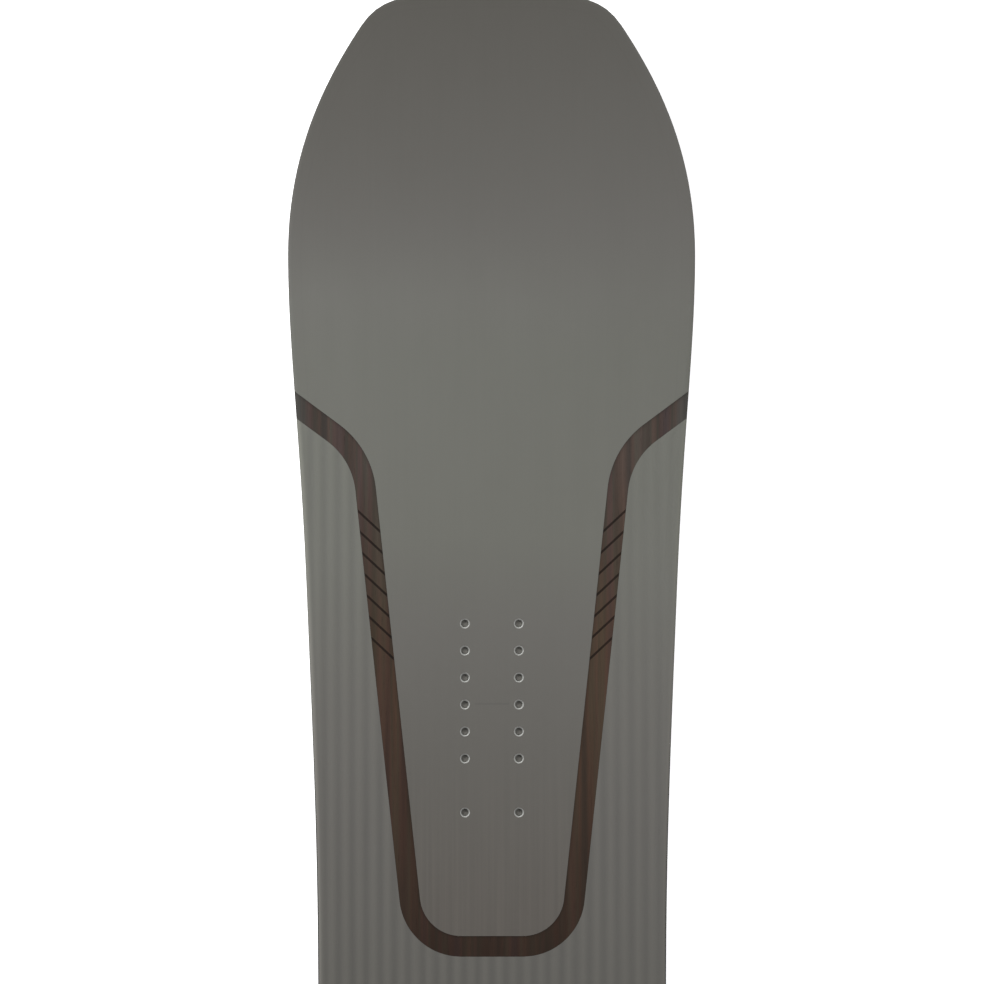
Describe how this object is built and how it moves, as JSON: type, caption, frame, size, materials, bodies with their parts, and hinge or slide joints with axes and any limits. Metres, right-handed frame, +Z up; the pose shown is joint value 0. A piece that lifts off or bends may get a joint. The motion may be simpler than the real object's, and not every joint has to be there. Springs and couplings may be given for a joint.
{
  "type": "snowboard deck",
  "caption": "Bare cambered snowboard deck with turned-up nose and tail, steel edges, inlaid wooden bands and threaded binding inserts.",
  "frame": {"origin": "on the floor under the middle of the board", "axes": "+X across the board to the right, +Y along it towards the nose, +Z up from the floor"},
  "size_m": [0.3022, 1.54, 0.056],
  "materials": {
    "base": "sintered, fine lengthwise structure",
    "edge": "ground satin",
    "laminate": "glass fibre in clear resin",
    "foil": "matt",
    "core_pale": "sawn",
    "core_dark": "sawn",
    "sidewall": "milled, fine lengthwise marks",
    "spacer": "plain",
    "mat": "woven glass in resin",
    "insert": "turned stainless",
    "topsheet": "matt, faint lengthwise ribs",
    "inlay": "dark stained, open grain"
  },
  "bodies": {
    "root": {"base_sheet": "base", "steel_edge_left": "edge", "steel_edge_right": "edge", "edge_ply": "laminate", "edge_foil_left": "foil", "edge_foil_right": "foil", "lower_laminate": "laminate", "core_strip_01": "core_dark", "core_strip_02": "core_pale", "core_strip_03": "core_dark", "core_strip_04": "core_pale", "core_strip_05": "core_dark", "core_strip_06": "core_pale", "core_strip_07": "core_dark", "core_strip_08": "core_pale", "core_strip_09": "core_dark", "core_strip_10": "core_pale", "core_strip_11": "core_dark", "core_strip_12": "core_pale", "core_strip_13": "core_dark", "core_strip_14": "core_pale", "core_strip_15": "core_dark", "core_strip_16": "core_pale", "core_strip_17": "core_dark", "core_strip_18": "core_pale", "core_strip_19": "core_dark", "core_strip_20": "core_pale", "core_strip_21": "core_dark", "core_strip_22": "core_pale", "core_strip_23": "core_dark", "core_strip_24": "core_pale", "core_stub_nose_left_1": "core_dark", "core_stub_nose_left_2": "core_pale", "core_stub_nose_right_1": "core_dark", "core_stub_nose_right_2": "core_pale", "core_stub_tail_left_1": "core_dark", "core_stub_tail_left_2": "core_pale", "core_stub_tail_right_1": "core_dark", "core_stub_tail_right_2": "core_pale", "sidewall_left": "sidewall", "sidewall_right": "sidewall", "nose_spacer": "spacer", "tail_spacer": "spacer", "reinforcement_front": "mat", "reinforcement_rear": "mat", "inserts_front": "insert", "inserts_rear": "insert", "upper_laminate": "laminate", "topsheet_nose": "topsheet", "topsheet_centre": "topsheet", "topsheet_tail": "topsheet", "inlay_nose": "inlay", "inlay_tail": "inlay"}
  },
  "joints": []
}
